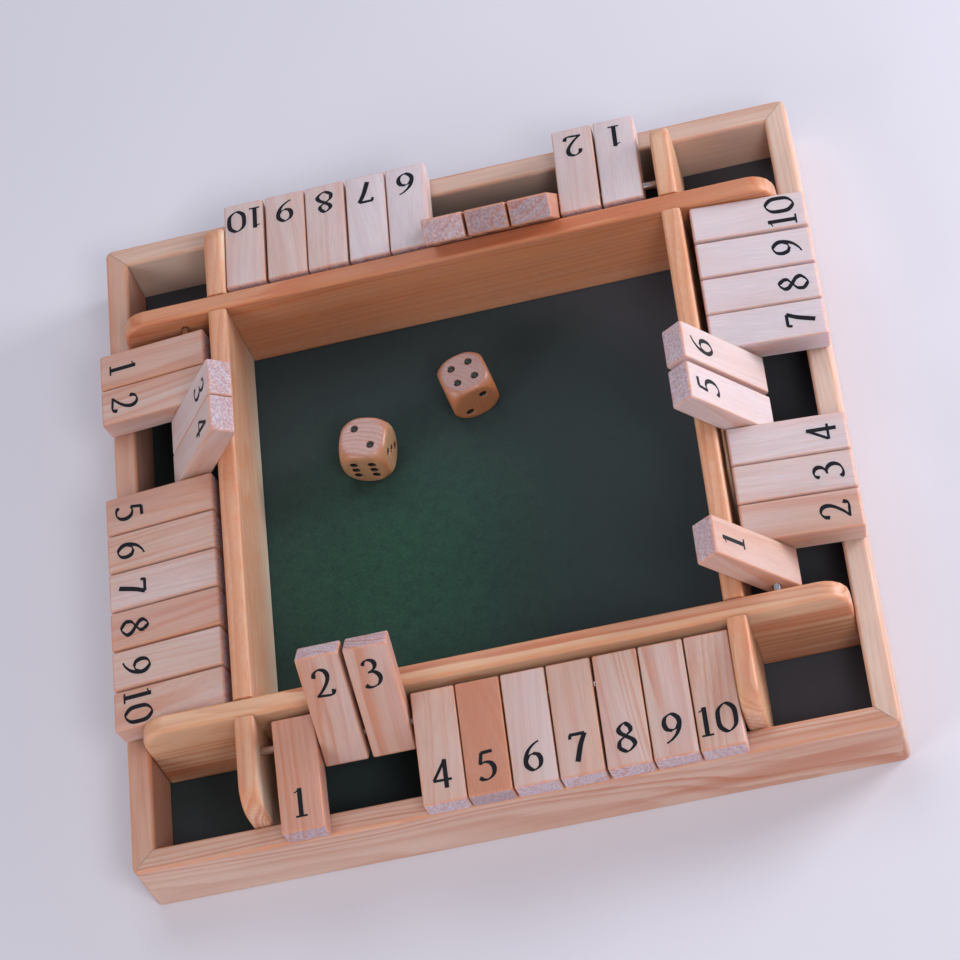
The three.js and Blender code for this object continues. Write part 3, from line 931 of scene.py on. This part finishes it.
low, high = np.array(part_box("base_board"))
middle, half = (low + high) / 2, (high - low) / 2
base_rings = eased_board(low[:2], high[:2], half[2], [base_corner] * 4, base_edge)
base = make("base_panel", *skin(base_rings[..., [0, 2, 1]] + (0, 0, middle[2])))
cut_from_log(base, (1.0, 0.0, 0.0), 0.8, 0.0, 9.0, (6, 10))
finish_piece(base, ply_finish(), "base_ply", "tray", "base_board")

# %% [markdown]
# A wooden die is a cube tumbled in a drum until its corners are round. Each of its six faces is a grid.
# A point of the cube is pushed out from an inner box by the edge radius, and where it would lie outside a
# ball it is drawn in to it; a smooth minimum blends the two. The pips are drilled: a point nearer to a pip
# than its radius sinks along a bowl, and an attribute says how far it is from the nearest pip's middle, so
# that the black paint has a sharp rim.

# %% Dice
die_side, die_ball_radius, die_edge_round = 19 * mm, 12.9 * mm, 1.6 * mm
pip_radius, pip_depth, pip_pitch = 1.6 * mm, 0.9 * mm, 3.6 * mm
die_steps, die_blend = 90, 28  # points along a face, and the smooth minimum's exponent
paint_start, paint_end = -0.13, 0.01  # where a pip's paint thins out, in mm from its rim
pip_shares = {
    1: [(0, 0)],
    2: [(-1, 1), (1, -1)],
    3: [(-1, 1), (0, 0), (1, -1)],
    4: [(-1, 1), (1, -1), (-1, -1), (1, 1)],
    5: [(-1, 1), (1, -1), (-1, -1), (1, 1), (0, 0)],
    6: [(-1, 1), (1, -1), (-1, -1), (1, 1), (-1, 0), (1, 0)],
}
dice = [
    {"name": "die_1", "turn": -11.5, "top": 2, "front": 6, "turned_faces": [3], "tone": -0.25},
    {"name": "die_2", "turn": 15.9, "top": 4, "front": 2, "turned_faces": [2], "tone": 0.65},
]


def number_normals(top, front):
    """Which way each number faces: opposite faces add to seven, and 1, 2 and 3 keep a right-handed turn."""
    start = {1: np.array([0, 0, 1]), 2: np.array([0, -1, 0]), 3: np.array([1, 0, 0])}
    start.update({7 - number: -normal for number, normal in list(start.items())})
    up, ahead = start[top], start[front]
    rows = np.array([np.cross(up, ahead), -ahead, up])
    return {number: rows @ normal for number, normal in start.items()}


def die_mesh(top, front, turned_faces):
    """Points, faces, and each point's distance from the nearest pip."""
    half = die_side / 2
    share = np.linspace(-1, 1, die_steps)
    across, up = np.meshgrid(share, share, indexing="ij")
    _, quads = grid(across.shape)
    points, faces, nearest = [], [], []
    for number, normal in number_normals(top, front).items():
        # the face's own directions: the same quarter turns as those that carry +Z to its normal
        turn_to = Vector((0, 0, 1)).rotation_difference(Vector(normal.astype(float)))
        x_axis, y_axis = (np.array(turn_to @ Vector(axis)) for axis in ((1, 0, 0), (0, 1, 0)))
        place = half * (across[..., None] * x_axis + up[..., None] * y_axis + normal)
        inner = np.clip(place, -(half - die_edge_round), half - die_edge_round)
        outward = place - inner
        place = inner + die_edge_round * outward / np.linalg.norm(outward, axis=-1, keepdims=True)
        distance = np.linalg.norm(place, axis=-1, keepdims=True)
        place = place / distance * (distance**-die_blend + die_ball_radius**-die_blend) ** (-1 / die_blend)
        a, b = place @ x_axis, place @ y_axis
        spots = np.array(pip_shares[number], float) * pip_pitch
        if number in turned_faces:
            spots = np.stack([-spots[:, 1], spots[:, 0]], 1)
        near = np.min([np.hypot(a - s, b - t) for s, t in spots], 0)
        bowl = pip_depth * np.sqrt(np.clip(1 - (near / pip_radius) ** 2, 0, 1))
        place = place - bowl[..., None] * normal
        faces.append(quads + len(points) * across.size)
        points.append(place.reshape(-1, 3))
        nearest.append(near.ravel())
    return np.vstack(points), np.vstack(faces), np.concatenate(nearest)


def die_finish():
    """Varnished wood with painted pips: the paint covers what lies within a pip's radius."""
    # the die's edges are painted warmer, partly for oil and partly as a painted glow of light
    material, shader = wood_finish(
        "varnished die wood", linear(186, 140, 104), linear(164, 96, 58), linear(204, 172, 138), bump=0.1,
        edge_oil_and_glow=linear(192, 120, 76), end=linear(186, 154, 155), speckle=0.35)
    near = attribute(material, "pip_distance", "Fac")
    rim = pip_radius / mm
    paint = spread(near, rim + paint_start, rim + paint_end, 1.0, 0.0)
    plain = shader.inputs["Base Color"].links[0].from_socket
    painted = mixed(paint, plain, linear(10, 8, 10))
    fill(shader, {"Base Color": painted, "Coat Weight": 0.25, "Coat Roughness": 0.18})
    return material


varnished = die_finish()
for die in dice:
    points, faces, near = die_mesh(die["top"], die["front"], die["turned_faces"])
    low, high = np.array(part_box(die["name"]))
    angle = math.radians(die["turn"])
    c, s = math.cos(angle), math.sin(angle)
    x, y, z = points.T
    stood = np.stack([c * x - s * y, s * x + c * y, z], 1) + (low + high) / 2
    cube = make(f"{die['name']}_cube", stood, faces.tolist())
    cube.data.attributes.new("pip_distance", "FLOAT", "POINT").data.foreach_set("value", near / mm)
    turn_outward(cube.data, weld=0.001 * mm)
    shade(cube.data, sharp=75)
    rounded = edge_mask(cube, [(c, s, 0), (-s, c, 0), (0, 0, 1)], 0.985, 0.12)
    cut_from_log(cube, (0.0, 0.0, 1.0), 0.5, die["tone"], 1.8, (10, 30), rounded)
    finish_piece(cube, varnished, "die_wood", die["name"], die["name"])
    print(cube.name, len(cube.data.polygons), "faces")

# %% [markdown]
# The game stands on a plain pale floor between soft lamps. The strongest, on the right, stands low, so the
# tiles there are the palest, and another fills in from the front left. A third, high on the front right,
# reaches over the dividers and lays the dice's shadows to their left. A window behind the tray lies where the
# flat tops mirror it into the camera, which lays a cool haze on them, and a low card in front lifts the near
# wall's face. The world is a pale grey, which keeps the pockets readable.

# %% Floor and lamps
floor_reach, floor_thickness = 4.0, 0.01
floor = make("floor", *skin(np.array([[(x, y, z) for x, y in ((-1, -1), (1, -1), (1, 1), (-1, 1))]
                                      for z in (-1, 0)]) * (floor_reach, floor_reach, floor_thickness)))
floor_material, floor_shader = surface("pale floor")
floor_cloud = cloud(own_place(floor_material), (6, 6, 6), detail=3)
floor_colour = mixed(floor_cloud, linear(214, 212, 224), linear(220, 218, 230))
fill(floor_shader, {"Base Color": floor_colour, "Roughness": 0.9})
floor.data.materials.append(floor_material)


def lamp(name, place, size, power, colour):
    """An area lamp that points at the tray; size is its width and its height."""
    light = bpy.data.lights.new(name, "AREA")
    light.shape = "RECTANGLE"
    light.size, light.size_y = size
    light.energy, light.color = power, colour
    holder = add_piece(name, light)
    holder.location = place
    holder.rotation_mode = "QUATERNION"
    holder.rotation_quaternion = (aim - Vector(place)).to_track_quat("-Z", "Y")


lamp("window", (-0.167, 0.62, 0.975), (0.8, 0.8), 3.4, (0.91, 0.94, 1.0))
lamp("front lamp", (0.45, -0.7, 0.95), (0.4, 0.4), 4.4, (1.0, 0.97, 0.95))
lamp("right lamp", (0.88, 0.28, 0.28), (0.4, 0.4), 7.2, (0.97, 0.97, 1.0))
lamp("left lamp", (-0.8, -0.65, 0.55), (0.5, 0.5), 3.8, (1.0, 0.98, 0.96))
lamp("low card", (0.2, -0.8, 0.05), (1.0, 0.1), 0.9, (0.92, 0.95, 1.0))
world = bpy.data.worlds.new("pale room")
world.use_nodes = True
fill(world.node_tree.nodes["Background"], {"Color": (0.93, 0.94, 1.0, 1), "Strength": 0.295})
scene.world = world
